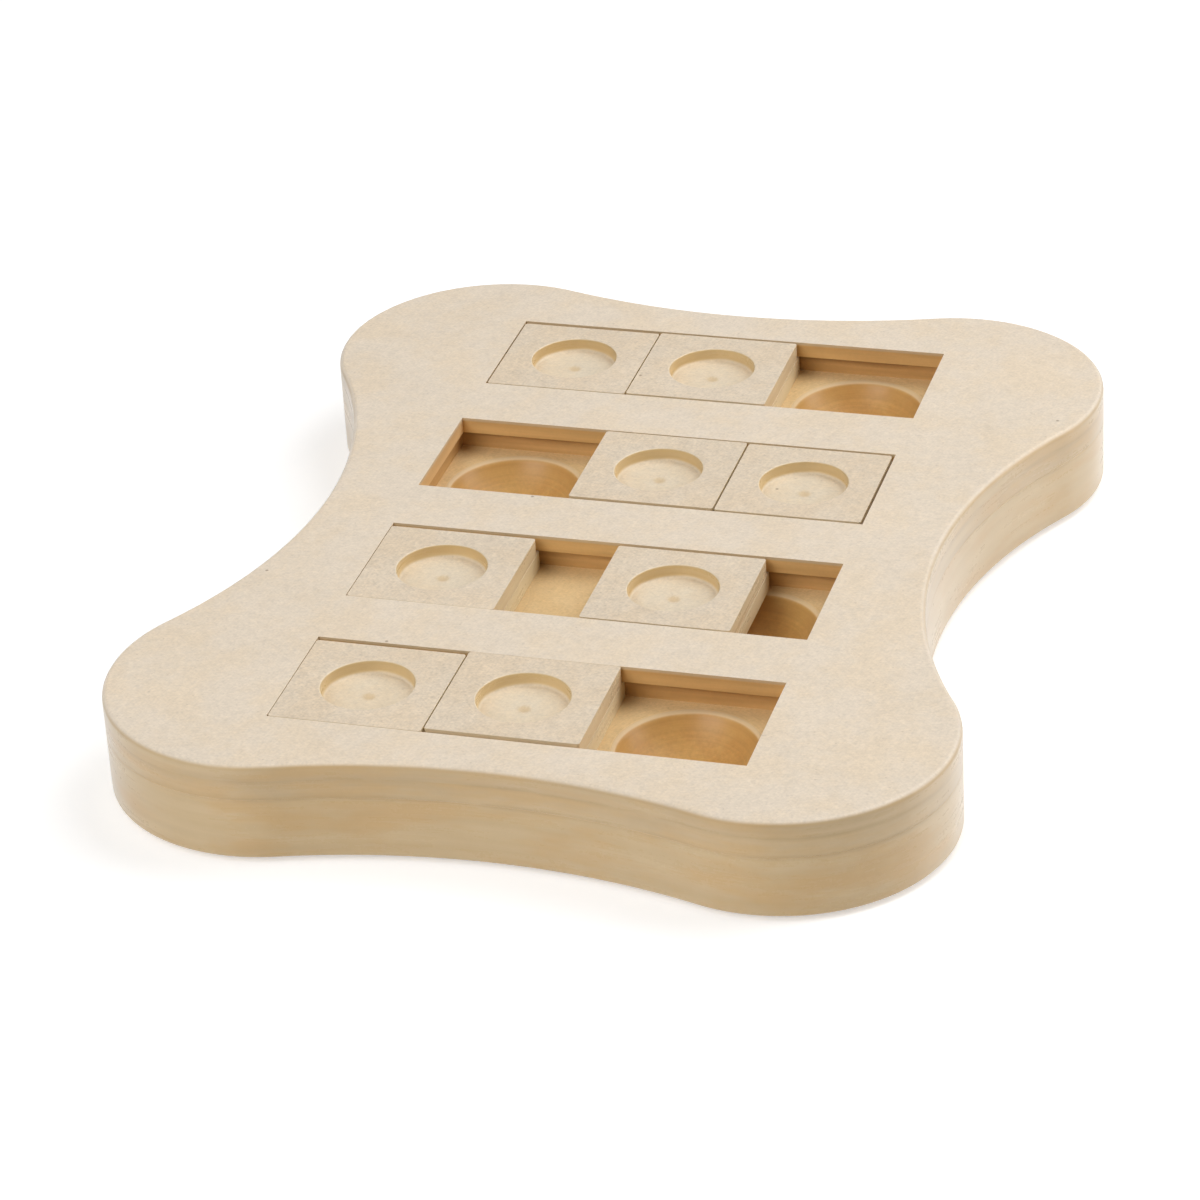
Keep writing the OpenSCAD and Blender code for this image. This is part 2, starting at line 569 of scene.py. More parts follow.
@cache
def turning_marks() -> Effect:
    """What a round cutter leaves: fine rings, and a scorched point in the middle.

    Returns:
        A group whose Rings is a brightness change round 0, and Point a mask within Radius of the
        Vector's origin, with a frayed edge.
    """
    w = Effect("turning_marks", ["Rings", "Point"], {"Radius": 2.2 * MM})
    at = w.given["Vector"]
    level = w.node("VectorMath", {0: at, 1: (1.0, 1.0, 0.0)}, operation="MULTIPLY").outputs[0]
    far = w.length(level)
    w.put("Rings", w.rings(far, 900.0))
    reach = w.calc("DIVIDE", far, w.given["Radius"])
    frayed = w.calc("MULTIPLY_ADD", w.noise(at, 1600.0, rough=0.6), 0.9, reach)
    w.put("Point", w.ramp(frayed, 1.75, 0.75))
    return w


@cache
def bowl_marks() -> Effect:
    """The rings that the cutter leaves in every bowl and on the floor round it, and where a highlight is
    painted on each rim.

    The bowls stand in two columns and evenly pitched rows, so one folded pattern serves all.

    Returns:
        A group whose Rings is a brightness change round 0 in the bowls, Around the same just outside their
        rims, and the last output a mask of the bevel round each rim, where a pale highlight is painted.
        All are 0 below the height Under.
    """
    inputs = {
        "Column": BowlPlan.x,
        "Pitch": SlotPlan.pitch,
        "Radius": BowlPlan.r - BowlPlan.rim_w / 2,
        "Under": BowlPlan.unmarked_below,
    }
    w = Effect("bowl_marks", ["Rings", "Around", "Rim"], inputs)
    given = w.given
    place = w.node("SeparateXYZ", {0: given["Vector"]}).outputs
    x = w.calc("SUBTRACT", w.calc("ABSOLUTE", place["X"]), given["Column"])
    y = w.calc("WRAP", place["Y"], given["Pitch"], 0.0)
    y = w.calc("SUBTRACT", y, w.calc("MULTIPLY", given["Pitch"], 0.5))
    far = w.length(w.node("CombineXYZ", {0: x, 1: y}).outputs[0])
    past = w.calc("SUBTRACT", far, given["Radius"])
    above = w.calc("GREATER_THAN", place["Z"], given["Under"])
    fine, broad = w.rings(far, 1100.0), w.rings(far, 260.0)
    w.put("Rings", w.calc("MULTIPLY", w.calc("MULTIPLY_ADD", broad, 0.6, fine), above))
    near = w.calc("MULTIPLY", w.ramp(past, 7.0 * MM, 0.5 * MM), above)
    w.put("Around", w.calc("MULTIPLY", fine, near))
    # the bevel round each rim, where a pale highlight is painted
    bevel = w.ramp(w.calc("ABSOLUTE", past), 0.85 * MM, 0.40 * MM)
    w.put("Rim", w.calc("MULTIPLY", bevel, above))
    return w


# ---------------- finishes


def rgba(colour: Colour) -> tuple[float, float, float, float]:
    """A colour with full alpha."""
    return (*colour, 1.0)


@dataclass
class Surface(Wiring):
    """A material that is being wired: the piece's coordinates, and the colour and relief so far."""

    tree: bpy.types.NodeTree = field(init=False)
    name: str
    material: Material = field(init=False)
    at: Socket = field(init=False)
    colour: Socket = field(init=False)
    relief: Socket = field(init=False)

    def __post_init__(self) -> None:
        """Makes the material."""
        self.material = bpy.data.materials.new(self.name)
        self.material.use_nodes = True
        self.tree = self.material.node_tree
        self.at = self.node("TexCoord").outputs["Object"]

    def coat(self, strength: object, colour: Colour) -> None:
        """Lays a colour over the one so far."""
        self.colour = self.mix(strength, self.colour, rgba(colour))

    def finish(self, rough: Socket, relief_height: float, fixed: dict[str, float]) -> Material:
        """Wires the colour, the roughness and the relief to the shader.

        Args:
            rough: the roughness.
            relief_height: how high the relief stands, in metres.
            fixed: the shader's own values, by name.

        Returns:
            The material.
        """
        bump = self.node("Bump", {"Height": self.relief, "Distance": relief_height, "Strength": 0.5})
        shader = self.tree.nodes["Principled BSDF"]
        wired = {"Base Color": self.colour, "Roughness": rough, "Normal": bump.outputs[0]}
        for label, value in wired.items():
            self.tree.links.new(value, shader.inputs[label])
        for label, value in fixed.items():
            shader.inputs[label].default_value = value
        return self.material


@dataclass(frozen=True)
class Fibreboard:
    """Sanded and sealed fibreboard: pale faces, and warmer edges that show its layers."""

    name: str
    face: Colour = (0.803, 0.691, 0.555)
    face_warm: Colour = (0.809, 0.675, 0.512)
    face_grain: float = 1.0
    face_rough: float = 0.50
    edge: Colour = (0.586, 0.432, 0.239)
    edge_dark: Colour = (0.530, 0.382, 0.206)
    edge_grain: float = 1.0
    edge_relief: float = 1.0
    edge_rough: float = 0.28
    streak_rough: float = -0.3
    shift: Point = (0.0, 0.0, 0.0)
    ior: float = 1.40
    sheen: float = 0.0
    sheen_rough: float = 0.5
    relief_height: float = 0.05 * MM
    speck: Colour = (0.215, 0.130, 0.065)
    speck_depth: float = 0.6
    blotch: Colour = (0.575, 0.372, 0.158)
    blotch_depth: float = 0.0
    skin: Colour = (0.660, 0.505, 0.310)
    skin_level: float | None = None
    skin_width: float = 1.3 * MM
    # dark lines at given levels: glue at the sheets' joints, and painted shade just under the lip on the
    # groove wall
    glue: Colour = (0.405, 0.268, 0.122)
    glue_levels: tuple[float, ...] = ()
    glue_and_shade_width: float = 1.2 * MM
    glue_and_shade_depth: float = 0.5
    turned_at: Point | None = None
    ring_depth: float = 0.0
    ring_relief: float = 1.5
    scorch: Colour = (0.640, 0.450, 0.225)
    scorch_depth: float = 0.0
    bowl_rings: float = 0.0
    floor_rings: float = 0.0
    bowl_relief: float = 0.8
    # a pale highlight painted on the bevel round each bowl's rim
    rim: Colour = (0.800, 0.625, 0.385)
    rim_highlight_depth: float = 0.75

    def material(self) -> Material:
        """Builds the material.

        Returns:
            The material.
        """
        w = Surface(self.name)
        place = w.node("Mapping", {"Vector": w.at, "Location": self.shift}).outputs[0]
        face = w.group(sanded_face(), {"Vector": place})
        edge = w.group(machined_edge(), {"Vector": place})
        # 1 where the surface faces up or down, and 0 on an upright wall
        up = w.ramp(w.calc("ABSOLUTE", w.along(w.node("NewGeometry").outputs["Normal"], "Z")), 0.40, 0.96)
        pale = w.mix(face["Warmth"], rgba(self.face), rgba(self.face_warm))
        pale = w.shade(pale, face["Tone"], self.face_grain)
        self.paint_edge(w, edge)
        w.colour = w.mix(up, w.colour, pale)
        w.coat(w.calc("MULTIPLY", w.calc("MULTIPLY", face["Specks"], up), self.speck_depth), self.speck)
        layers = w.calc("MULTIPLY", edge["Height"], self.edge_relief)
        w.relief = w.calc("MULTIPLY_ADD", face["Height"], up, layers)
        if self.turned_at is not None:
            self.turn_recess(w)
        if self.bowl_rings or self.floor_rings:
            self.turn_bowls(w)
        rough = w.calc("MULTIPLY_ADD", up, self.face_rough - self.edge_rough, self.edge_rough)
        rough = w.calc("MULTIPLY_ADD", edge["Tone"], self.streak_rough, rough)
        fixed = {"IOR": self.ior, "Sheen Weight": self.sheen, "Sheen Roughness": self.sheen_rough}
        return w.finish(rough, self.relief_height, fixed)

    def paint_edge(self, w: Surface, edge: Sockets) -> None:
        """Colours the cut edge: its layers, the sealer's patches, the face's skin, the glue lines and the
        painted shade under a lip.

        Args:
            w: the material so far.
            edge: the outputs of the machined edge's effect.
        """
        w.colour = w.mix(edge["Bands"], rgba(self.edge), rgba(self.edge_dark))
        w.coat(w.calc("MULTIPLY", edge["Blotch"], self.blotch_depth), self.blotch)
        if self.skin_level is not None:
            inner, outer = (self.skin_level - share * self.skin_width for share in (1.0, 0.4))
            w.coat(w.ramp(w.along(w.at, "Z"), inner, outer), self.skin)
        w.colour = w.shade(w.colour, edge["Tone"], self.edge_grain)
        # a dark line at each level: glue at a joint, painted shade where the level lies under a lip
        for level in self.glue_levels:
            line = w.group(glue_line(), {"Vector": w.at, "Height": level, "Width": self.glue_and_shade_width})["Line"]
            w.coat(w.calc("MULTIPLY", line, self.glue_and_shade_depth), self.glue)

    def turn_recess(self, w: Surface) -> None:
        """Adds a round cutter's rings and the scorched point in their middle.

        Args:
            w: the material so far.
        """
        centred = w.node("Mapping", {"Vector": w.at, "Location": [-x for x in self.turned_at]})
        marks = w.group(turning_marks(), {"Vector": centred.outputs[0]})
        w.colour = w.shade(w.colour, marks["Rings"], self.ring_depth)
        w.coat(w.calc("MULTIPLY", marks["Point"], self.scorch_depth), self.scorch)
        w.relief = w.calc("MULTIPLY_ADD", marks["Rings"], self.ring_relief, w.relief)

    def turn_bowls(self, w: Surface) -> None:
        """Adds the bowls' rings, the marks round them, and a pale highlight painted on their rims.

        Args:
            w: the material so far.
        """
        marks = w.group(bowl_marks(), {"Vector": w.at})
        w.colour = w.shade(w.colour, marks["Rings"], self.bowl_rings)
        w.colour = w.shade(w.colour, marks["Around"], self.floor_rings)
        # painted highlight on the bevel round each bowl's rim
        w.coat(w.calc("MULTIPLY", marks["Rim"], self.rim_highlight_depth), self.rim)
        w.relief = w.calc("MULTIPLY_ADD", marks["Rings"], self.bowl_relief, w.relief)


@dataclass(frozen=True)
class Rubber:
    """Soft black rubber with a fine grain and a little dust."""

    name: str = "foot_rubber"
    black: Colour = (0.030, 0.029, 0.028)
    rough: float = 0.72
    dust: Colour = (0.16, 0.14, 0.12)
    dust_depth: float = 0.35
    dust_rough: float = 0.2
    relief_height: float = 0.08 * MM

    def material(self) -> Material:
        """Builds the material.

        Returns:
            The material.
        """
        w = Surface(self.name)
        dust = w.ramp(w.noise(w.at, 160.0, detail=4.0, rough=0.65), 0.50, 0.80, end=self.dust_depth)
        w.colour = w.mix(dust, rgba(self.black), rgba(self.dust))
        w.relief = w.noise(w.at, 1800.0, detail=3.0, rough=0.6)
        return w.finish(w.calc("MULTIPLY_ADD", dust, self.dust_rough, self.rough), self.relief_height, {})


# ---------------- the board


@dataclass(frozen=True)
class BoneOutline:
    """The board's outline: four round lobes joined by concave ends and sides."""

    lobe_r: float = 48.5 * MM
    lobe_x: float = 74.5 * MM
    lobe_y: float = 104.5 * MM
    waist_x: float = 94.5 * MM
    waist_y: float = 142.0 * MM
    chord: float = 2.0 * MM

    def draw(self, name: str, z: float) -> Object:
        """Draws the closed outline as one flat face.

        Args:
            name: the object's name.
            z: the height of the face.

        Returns:
            The flat face as a mesh object.
        """
        end_rise, side_rise = self.waist_y - self.lobe_y, self.waist_x - self.lobe_x
        end_r = (self.lobe_x**2 + end_rise**2 - self.lobe_r**2) / (2 * (self.lobe_r - end_rise))
        side_r = (self.lobe_y**2 + side_rise**2 - self.lobe_r**2) / (2 * (self.lobe_r - side_rise))
        end_y, side_x = self.waist_y + end_r, self.waist_x + side_r
        end_angle = math.atan2(self.lobe_x, end_y - self.lobe_y)
        side_angle = math.atan2(self.lobe_y, side_x - self.lobe_x)
        lobe = math.pi / 2 + end_angle + side_angle
        arcs = []
        for turn in (1, -1):
            arcs += [
                Arc((turn * self.lobe_x, turn * self.lobe_y, z), self.lobe_r, lobe),
                Arc((0.0, turn * end_y, z), end_r, -2 * end_angle),
                Arc((-turn * self.lobe_x, turn * self.lobe_y, z), self.lobe_r, lobe),
                Arc((-turn * side_x, 0.0, z), side_r, -2 * side_angle),
            ]
        start_x = self.lobe_x + self.lobe_r * math.cos(side_angle)
        start_y = self.lobe_y - self.lobe_r * math.sin(side_angle)
        made = lone_vertex(name, (start_x, start_y, z))
        draw_arcs(made, arcs, self.chord)
        with editing(made, "VERT", everything=True):
            bpy.ops.mesh.remove_doubles(threshold=NEAR)
            bpy.ops.mesh.edge_face_add()
        return made


@dataclass(frozen=True)
class SlotPlan:
    """The four slots and the wider windows under them."""

    length: float = 138.0 * MM
    width: float = 44.6 * MM
    pitch: float = 68.8 * MM
    side_lip: float = 2.5 * MM
    end_lip: float = 1.5 * MM
    rows: int = 4

    def middles(self) -> list[float]:
        """The middles of the rows along Y, from the back one."""
        return [((self.rows - 1) / 2 - row) * self.pitch for row in range(self.rows)]


@dataclass(frozen=True)
class BowlPlan:
    """The turned bowls under the slots' ends, with a bevel round each rim."""

    x: float = 46.0 * MM
    r: float = 21.5 * MM
    depth: float = 12.0 * MM
    rim_w: float = 1.2 * MM
    rim_h: float = 0.7 * MM
    unmarked_below: float = 5.0 * MM
    dish_steps: int = 24
    steps: int = 96

    def profile(self) -> Profile:
        """The cutter's profile, with height zero at the slot's floor.

        Returns:
            (radius, height) points from the bowl's bottom to above the floor.
        """
        dish_r, dish_depth = self.r - self.rim_w, self.depth - self.rim_h
        sphere = (dish_r**2 + dish_depth**2) / (2 * dish_depth)
        reach = math.degrees(math.asin(dish_r / sphere))
        dish = bend((0.0, sphere - self.depth), sphere, -90.0, reach, self.dish_steps)
        return [*dish, (self.r, 0.0), (self.r, PAST), (0.0, PAST)]


@dataclass(frozen=True)
class FootShape:
    """A rubber foot with a soft lower edge, a fine upper one and a dimple in its underside."""

    soft: float = 0.5 * MM
    fine: float = 0.15 * MM
    steps: int = 64

    def profile(self, radius: float, thick: float) -> Profile:
        """The foot's profile, with height zero at its underside.

        Args:
            radius: the foot's radius.
            thick: its thickness.

        Returns:
            (radius, height) points from the middle of the dimple to the middle of the top.
        """
        dimple = [(0.0, 0.25 * MM), (0.35 * radius, 0.2 * MM), (0.5 * radius, 0.0)]
        under = bend((radius - self.soft, self.soft), self.soft, -90.0, 90.0, 4)
        upper = bend((radius - self.fine, thick - self.fine), self.fine, 0.0, 90.0, 2)
        return [*dimple, *under, *upper, (0.0, thick)]


@dataclass
class Board:
    """The three glued sheets and the rubber feet."""

    outline: BoneOutline = BoneOutline()
    slots: SlotPlan = SlotPlan()
    bowls: BowlPlan = BowlPlan()
    foot: FootShape = FootShape()
    outer_round: float = 1.7 * MM
    lower_round: float = 1.0 * MM
    joint_round: float = 0.07 * MM
    slot_round: float = 0.06 * MM
    broad_steps: int = 4
    haze: float = 0.6
    wall_relief: float = 0.25
    wall_lean: float = 0.9

    def build(self) -> list[Object]:
        """Builds the sheets and the feet, and returns them."""
        return [self.base_sheet(), self.guide_sheet(), self.top_sheet(), *self.feet()]

    def sheet(self, node: str, wood: Fibreboard) -> Object:
        """Draws the outline and pulls it up to the sheet's thickness.

        Args:
            node: the CAD node whose heights the sheet takes.
            wood: the finish of its faces.

        Returns:
            The sheet, with nothing cut out of it.
        """
        low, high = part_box(node)
        made = self.outline.draw(node + "_wood", low.z)
        with editing(made, "VERT", everything=True):
            bpy.ops.mesh.extrude_region_move(TRANSFORM_OT_translate={"value": (0.0, 0.0, high.z - low.z)})
            bpy.ops.mesh.select_all(action="SELECT")
            bpy.ops.mesh.normals_make_consistent(inside=False)
        made.data.materials.append(wood.material())
        return made

    def cut_windows(self, made: Object, node: str, length: float, width: float, wood: Fibreboard) -> None:
        """Cuts one window through a sheet for each row.

        Args:
            made: the sheet.
            node: the CAD node whose heights the cut passes.
            length: the windows' length along X.
            width: their width along Y.
            wood: the finish of the cut walls.
        """
        low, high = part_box(node)
        low = Vector((-length / 2, -width / 2, low.z - PAST))
        high = Vector((length / 2, width / 2, high.z + PAST))
        cutter = block("window", low, high, wood.material())
        subtract(made, cutter, [Vector((0.0, y, 0.0)) for y in self.slots.middles()])

    def dress_outer_wall(self, made: Object, wood: Fibreboard, name: str, **changes: object) -> None:
        """Gives a sheet's outer wall a finish of its own.

        Args:
            made: the sheet, whose first material covers its faces and its outer wall.
            wood: the finish of its faces.
            name: the name of the wall's finish.
            **changes: what else differs in the wall's finish.
        """
        wall = replace(wood, name=name, edge_relief=self.wall_relief, sheen=self.haze, **changes)
        made.data.materials.append(wall.material())
        with editing(made, "FACE") as mesh:
            for face in mesh.faces:
                face.select_set(face.material_index == 0 and abs(face.normal.z) < self.wall_lean)
            bmesh.update_edit_mesh(made.data)
            made.active_material_index = len(made.data.materials) - 1
            bpy.ops.object.material_slot_assign()

    def top_sheet(self) -> Object:
        """Builds the top sheet with its four sharp-cornered slots.

        Returns:
            The finished sheet.
        """
        low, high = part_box("top_plate")
        face = Fibreboard("top_sheet_face")
        cut = Fibreboard(
            "slot_wall",
            edge=(0.724, 0.459, 0.184),
            edge_dark=(0.622, 0.372, 0.139),
            edge_rough=0.5,
            edge_grain=1.8,
            skin_level=high.z,
            sheen=0.2,
        )
        made = self.sheet("top_plate", face)
        round_edges(made, self.outer_round, self.broad_steps, sharp_rim(high.z))
        self.cut_windows(made, "top_plate", self.slots.length, self.slots.width, cut)
        round_edges(made, self.slot_round, 2, sharp_rim(high.z))
        self.dress_outer_wall(made, face, "top_sheet_edge", glue_levels=(low.z,), blotch_depth=0.6)
        return finished(made, "top_plate", "board")

    def guide_sheet(self) -> Object:
        """Builds the middle sheet, whose wider windows leave the groove under the lip.

        Returns:
            The finished sheet.
        """
        low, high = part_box("guide_plate")
        core = Fibreboard(
            "guide_sheet_core",
            shift=(0.31, 0.17, 0.013),
            glue_levels=(low.z, high.z),
            edge_grain=1.2,
            blotch_depth=0.7,
            edge_relief=self.wall_relief,
            sheen=self.haze,
        )
        cut = Fibreboard(
            "groove_wall",
            edge=(0.665, 0.415, 0.175),
            edge_dark=(0.564, 0.335, 0.130),
            edge_rough=0.5,
            edge_grain=1.8,
            # painted shade: dark bands on the groove wall just under the lip, where the lip shades it; the
            # top one also covers the glue joint
            glue=(0.230, 0.125, 0.055),
            glue_levels=(high.z - 0.3 * MM, high.z - 1.4 * MM),
            glue_and_shade_width=2.0 * MM,
        )
        made = self.sheet("guide_plate", core)
        round_edges(made, self.joint_round, 1, sharp_rim(low.z))
        length = self.slots.length + 2 * self.slots.end_lip
        width = self.slots.width + 2 * self.slots.side_lip
        self.cut_windows(made, "guide_plate", length, width, cut)
        return finished(made, "guide_plate", "board")

    def base_sheet(self) -> Object:
        """Builds the base sheet with its eight turned bowls.

        Returns:
            The finished sheet.
        """
        low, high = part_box("base_plate")
        face = Fibreboard(
            "base_sheet_face",
            face=(0.792, 0.575, 0.305),
            face_warm=(0.766, 0.538, 0.266),
            edge=(0.605, 0.446, 0.244),
            edge_dark=(0.572, 0.415, 0.218),
            edge_grain=0.75,
            blotch_depth=0.75,
            shift=(0.11, 0.43, 0.029),
            glue_levels=(high.z,),
            floor_rings=0.50,
        )
        dish = Fibreboard(
            "bowl_wood",
            face=(0.672, 0.408, 0.130),
            face_warm=(0.583, 0.308, 0.084),
            edge=(0.618, 0.352, 0.108),
            edge_dark=(0.575, 0.315, 0.092),
            bowl_rings=0.35,
            sheen=0.15,
        )
        made = self.sheet("base_plate", face)
        round_edges(made, self.joint_round, 1, sharp_rim(high.z))
        round_edges(made, self.lower_round, self.broad_steps, sharp_rim(low.z))
        floor = Vector((0.0, 0.0, high.z))
        cutter = turned("bowl", self.bowls.profile(), floor, self.bowls.steps, dish.material())
        columns = (-self.bowls.x, self.bowls.x)
        subtract(made, cutter, [Vector((x, y, 0.0)) for y in self.slots.middles() for x in columns])
        self.dress_outer_wall(made, face, "base_sheet_edge", floor_rings=0.0)
        return finished(made, "base_plate", "board")

    def feet(self) -> list[Object]:
        """Turns one rubber foot, and copies it to each corner.

        Returns:
            The finished feet.
        """
        nodes = [f"{end}_{side.value}_foot" for end in ("back", "front") for side in Side]
        low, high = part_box(nodes[0])
        profile = self.foot.profile((high.x - low.x) / 2, high.z)
        centre = Vector((*top_middle(nodes[0]).xy, 0.0))
        first = turned(nodes[0] + "_rubber", profile, centre, self.foot.steps, Rubber().material())
        made = set_out(first, nodes, "_rubber")
        return [finished(foot, node, "board") for foot, node in zip(made, nodes)]


# ---------------- the tiles


@dataclass(frozen=True)
class Tile:
    """One of the tiles. Each shows another stretch of the wood's pattern."""

    row: int
    side: Side

    @property
    def name(self) -> str:
        """The tile's name in the frame."""
        return f"row{self.row}_{self.side.value}"

    def cap_woods(self) -> list[Material]:
        """Builds the materials of the cap and of its turned recess.

        Returns:
            The two materials.
        """
        node = self.name + "_cap"
        shift = (0.07 * self.row, 0.19 * self.row + 0.4 * (self.side is Side.RIGHT), 0.0)
        cap = Fibreboard(
            node + "_face",
            face=(0.749, 0.632, 0.488),
            face_warm=(0.754, 0.615, 0.451),
            edge=(0.755, 0.630, 0.423),
            edge_dark=(0.700, 0.562, 0.358),
            face_grain=1.5,
            shift=shift,
        )
        recess = Fibreboard(
            node + "_recess",
            face=(0.798, 0.690, 0.530),
            face_warm=(0.809, 0.674, 0.492),
            edge=(0.700, 0.520, 0.272),
            edge_dark=(0.655, 0.463, 0.222),
            shift=shift,
            turned_at=tuple(top_middle(node)),
            ring_depth=0.05,
            scorch_depth=0.6,
        )
        return [cap.material(), recess.material()]

    def slider_woods(self) -> list[Material]:
        """Builds the slider's material.

        Returns:
            The one material, in a list.
        """
        slider = Fibreboard(
            self.name + "_slider_core",
            face=(0.700, 0.575, 0.405),
            edge=(0.790, 0.680, 0.457),
            edge_dark=(0.715, 0.588, 0.368),
            shift=(0.23, 0.05 * self.row, 0.3),
        )
        return [slider.material()]


@dataclass(frozen=True)
class FingerRecess:
    """The turned recess in a cap: a filleted floor, a rounded lip and a drill point's mark."""

    r: float = 13.35 * MM
    depth: float = 3.9 * MM
    fillet: float = 1.2 * MM
    lip: float = 0.5 * MM
    lip_sweep: float = -84.0
    point_r: float = 2.1 * MM
    point_depth: float = 0.35 * MM
    steps: int = 96

    def profile(self) -> Profile:
        """The cutter's profile, with height zero at the cap's top.

        Returns:
            (radius, height) points from the mark's bottom to above the cap.
        """
        floor, edge = -self.depth, self.r + self.lip
        mark = [(0.0, 1.0), (0.35, 0.86), (0.70, 0.40), (1.0, 0.0)]
        point = [(self.point_r * out, floor - self.point_depth * down) for out, down in mark]
        fillet = bend((self.r - self.fillet, floor + self.fillet), self.fillet, -90.0, 90.0, 4)
        lip = bend((edge, -self.lip), self.lip, 180.0, self.lip_sweep, 5)
        return [*point, *fillet, *lip, (edge, PAST), (0.0, PAST)]


@dataclass
class TileSet:
    """The sliding tiles: each a cap with a finger recess, glued to a wider slider.

    All tiles are alike, so one cap and one slider are modelled, and the others are copies.
    """

    tiles: list[Tile]
    recess: FingerRecess = FingerRecess()
    corner_r: float = 0.8 * MM
    cap_round: float = 0.08 * MM
    slider_round: float = 0.2 * MM
    joint_round: float = 0.08 * MM
    ride_height: float = 0.02 * MM

    def build(self) -> list[Object]:
        """Builds every tile.

        Returns:
            The finished caps and sliders, tile by tile.
        """
        made = []
        for tile, cap, slider in zip(self.tiles, self.caps(), self.sliders()):
            body = tile.name + "_tile"
            made.append(finished(cap, tile.name + "_cap", body))
            made.append(finished(slider, tile.name + "_slider", body))
        return made

    def layer(self, node: str, wood: Material, top_round: float, top_steps: int, lift: float) -> Object:
        """Builds one layer as a block with rounded upright corners and rims.

        Args:
            node: the CAD node whose box it fills.
            wood: its material.
            top_round: radius of the upper rim.
            top_steps: how many faces make that rounding.
            lift: how far its underside stands above the box's own.

        Returns:
            The layer.
        """
        low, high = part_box(node)
        low.z += lift
        made = block(node + "_wood", low, high, wood)
        round_edges(made, self.corner_r, 4, upright)
        round_edges(made, top_round, top_steps, sharp_rim(high.z))
        round_edges(made, self.joint_round, 1, sharp_rim(low.z))
        return made

    def caps(self) -> list[Object]:
        """Models one cap with its turned finger recess, and copies it to every tile.

        Returns:
            The caps.
        """
        nodes = [tile.name + "_cap" for tile in self.tiles]
        woods = [tile.cap_woods() for tile in self.tiles]
        wood, recess_wood = woods[0]
        made = self.layer(nodes[0], wood, self.cap_round, 3, lift=0.0)
        top = top_middle(nodes[0])
        cutter = turned("recess", self.recess.profile(), top, self.recess.steps, recess_wood)
        subtract(made, cutter, [Vector()])
        return self.dress(made, nodes, woods)

    def sliders(self) -> list[Object]:
        """Models one slider, whose ledges run under the lip, and copies it to every tile.

        Returns:
            The sliders.
        """
        nodes = [tile.name + "_slider" for tile in self.tiles]
        woods = [tile.slider_woods() for tile in self.tiles]
        made = self.layer(nodes[0], woods[0][0], self.slider_round, 2, self.ride_height)
        return self.dress(made, nodes, woods)

    @staticmethod
    def dress(first: Object, nodes: list[str], woods: list[list[Material]]) -> list[Object]:
        """Sets a modelled layer out over all tiles, each copy with its own wood.

        Args:
            first: the layer as modelled for the first tile.
            nodes: the CAD nodes of that layer, one for each tile.
            woods: the materials of each tile's layer, in the order of its slots.

        Returns:
            The layers.
        """
        made = set_out(first, nodes, "_wood")
        for piece, wood in zip(made, woods):
            for index, material in enumerate(wood):
                piece.data.materials[index] = material
        return made


# ---------------- the studio


@dataclass(frozen=True)
class Camera:
    """The camera, as an aim on the board's top face and where it stands round it.

    Angles are in degrees, distances in metres, and the lens and its sensor in millimetres.
    """

    aim: Point = (4.87 * MM, -45.69 * MM, 31.5 * MM)
    azimuth: float = 17.7126
    elevation: float = 29.5714
    roll: float = -3.5239
    distance: float = 1.3248
    lens: float = 137.78
    sensor: float = 36.0
    reach: tuple[float, float] = (0.05, 50.0)

    def build(self) -> None:
        """Makes the camera and gives it to the scene."""
        a, e, r = (math.radians(x) for x in (self.azimuth, self.elevation, self.roll))
        back = Vector((math.sin(a) * math.cos(e), -math.cos(a) * math.cos(e), math.sin(e)))
        level = (-back).cross(Vector((0.0, 0.0, 1.0))).normalized()
        rise = level.cross(-back)
        right = math.cos(r) * level + math.sin(r) * rise
        up = math.cos(r) * rise - math.sin(r) * level
        data = bpy.data.cameras.new("camera")
        data.lens, data.sensor_width = self.lens, self.sensor
        data.clip_start, data.clip_end = self.reach
        made = bpy.data.objects.new("camera", data)
        bpy.context.scene.collection.objects.link(made)
        turn = Matrix((right, up, back)).transposed().to_4x4()
        made.matrix_world = Matrix.Translation(Vector(self.aim) + back * self.distance) @ turn
        bpy.context.scene.camera = made


@dataclass(frozen=True)
class Softbox:
    """One large square white lamp, aimed at the middle of the board's footprint."""

    name: str
    place: Point
    width: float
    watts: float

    def build(self) -> None:
        """Makes the lamp, turned to its aim."""
        data = bpy.data.lights.new(self.name, "AREA")
        data.shape, data.size, data.energy = "SQUARE", self.width, self.watts
        made = bpy.data.objects.new(self.name, data)
        bpy.context.scene.collection.objects.link(made)
        turn = (-Vector(self.place)).to_track_quat("-Z", "Y").to_matrix().to_4x4()
        made.matrix_world = Matrix.Translation(Vector(self.place)) @ turn


